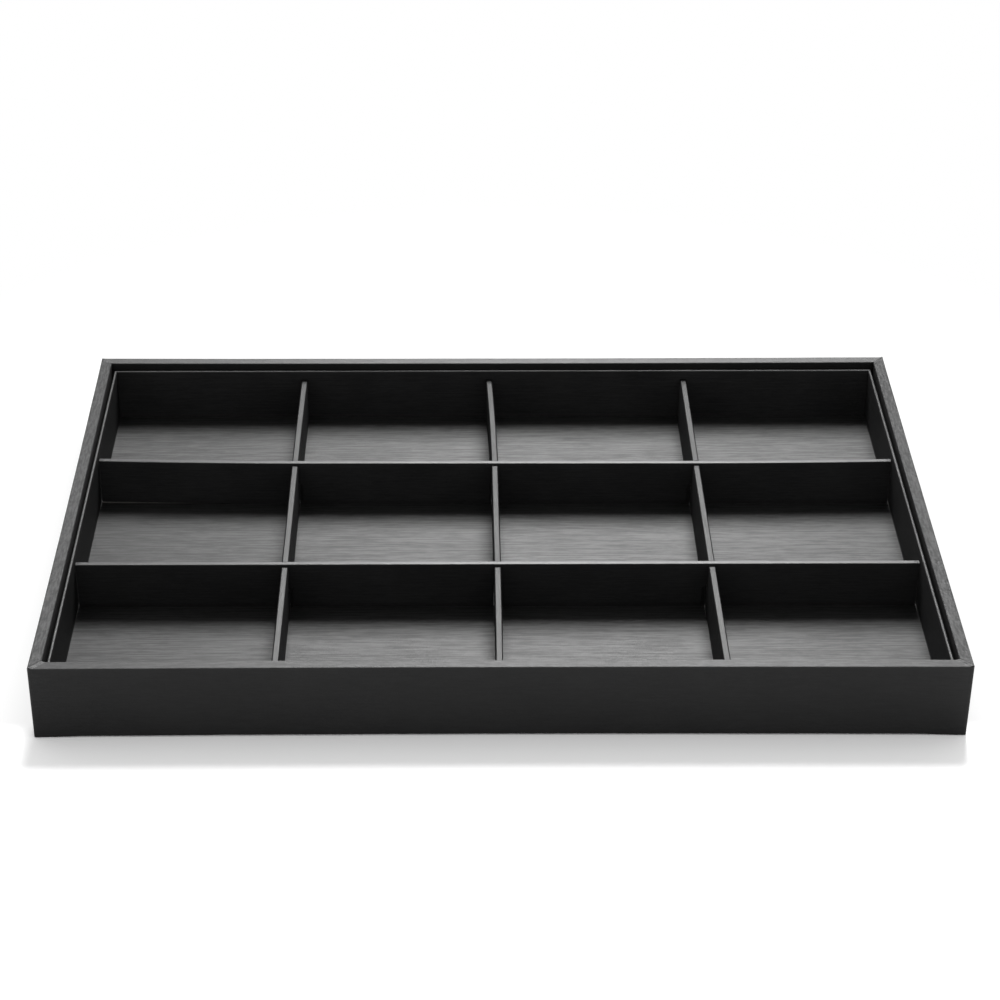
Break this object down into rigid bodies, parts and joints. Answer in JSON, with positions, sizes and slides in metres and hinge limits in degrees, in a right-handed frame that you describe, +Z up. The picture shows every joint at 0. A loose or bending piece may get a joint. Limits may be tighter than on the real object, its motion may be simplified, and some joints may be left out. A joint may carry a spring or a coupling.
{
  "type": "jewellery display tray",
  "caption": "Low black leatherette display tray with a drop-in liner and a lift-out lattice of slotted dividers.",
  "frame": {"origin": "centre of the rectangle that the tray stands on, at the level of its underside", "axes": "+X along the tray's length, to the right seen from the front; +Y from front to back; +Z up"},
  "size_m": [0.35, 0.24, 0.0315],
  "materials": {
    "casing_leatherette": "black leatherette with a fine brushed grain and a soft sheen",
    "brushed_leatherette": "black leatherette with a brushed grain that catches the light",
    "fibreboard": "raw medium-density fibreboard",
    "greyboard": "raw grey bookbinder's board",
    "lining_paper": "black uncoated lining paper"
  },
  "bodies": {
    "casing": {"front_rail": "fibreboard", "right_rail": "fibreboard", "back_rail": "fibreboard", "left_rail": "fibreboard", "front_rail_cover": "casing_leatherette", "right_rail_cover": "casing_leatherette", "back_rail_cover": "casing_leatherette", "left_rail_cover": "casing_leatherette", "base_board": "fibreboard", "underside_lining": "lining_paper"},
    "liner": {"liner_floor_board": "greyboard", "floor_covering": "brushed_leatherette", "front_liner_board": "greyboard", "right_liner_board": "greyboard", "back_liner_board": "greyboard", "left_liner_board": "greyboard", "front_liner_cover": "brushed_leatherette", "right_liner_cover": "brushed_leatherette", "back_liner_cover": "brushed_leatherette", "left_liner_cover": "brushed_leatherette"},
    "divider_lattice": {"left_cross_divider_board": "greyboard", "left_cross_divider_cover": "brushed_leatherette", "centre_cross_divider_board": "greyboard", "centre_cross_divider_cover": "brushed_leatherette", "right_cross_divider_board": "greyboard", "right_cross_divider_cover": "brushed_leatherette"},
    "front_long_divider": {"front_long_divider_board": "greyboard", "front_long_divider_cover": "brushed_leatherette"},
    "back_long_divider": {"back_long_divider_board": "greyboard", "back_long_divider_cover": "brushed_leatherette"}
  },
  "joints": [
    {"name": "liner_lift", "type": "slide", "parent": "casing", "child": "liner", "axis": [0, 0, 1], "range_m": [0, 0.03]},
    {"name": "lattice_lift", "type": "slide", "parent": "liner", "child": "divider_lattice", "axis": [0, 0, 1], "range_m": [0, 0.026]},
    {"name": "front_long_divider_lift", "type": "slide", "parent": "divider_lattice", "child": "front_long_divider", "axis": [0, 0, 1], "range_m": [0, 0.026]},
    {"name": "back_long_divider_lift", "type": "slide", "parent": "divider_lattice", "child": "back_long_divider", "axis": [0, 0, 1], "range_m": [0, 0.026]}
  ]
}
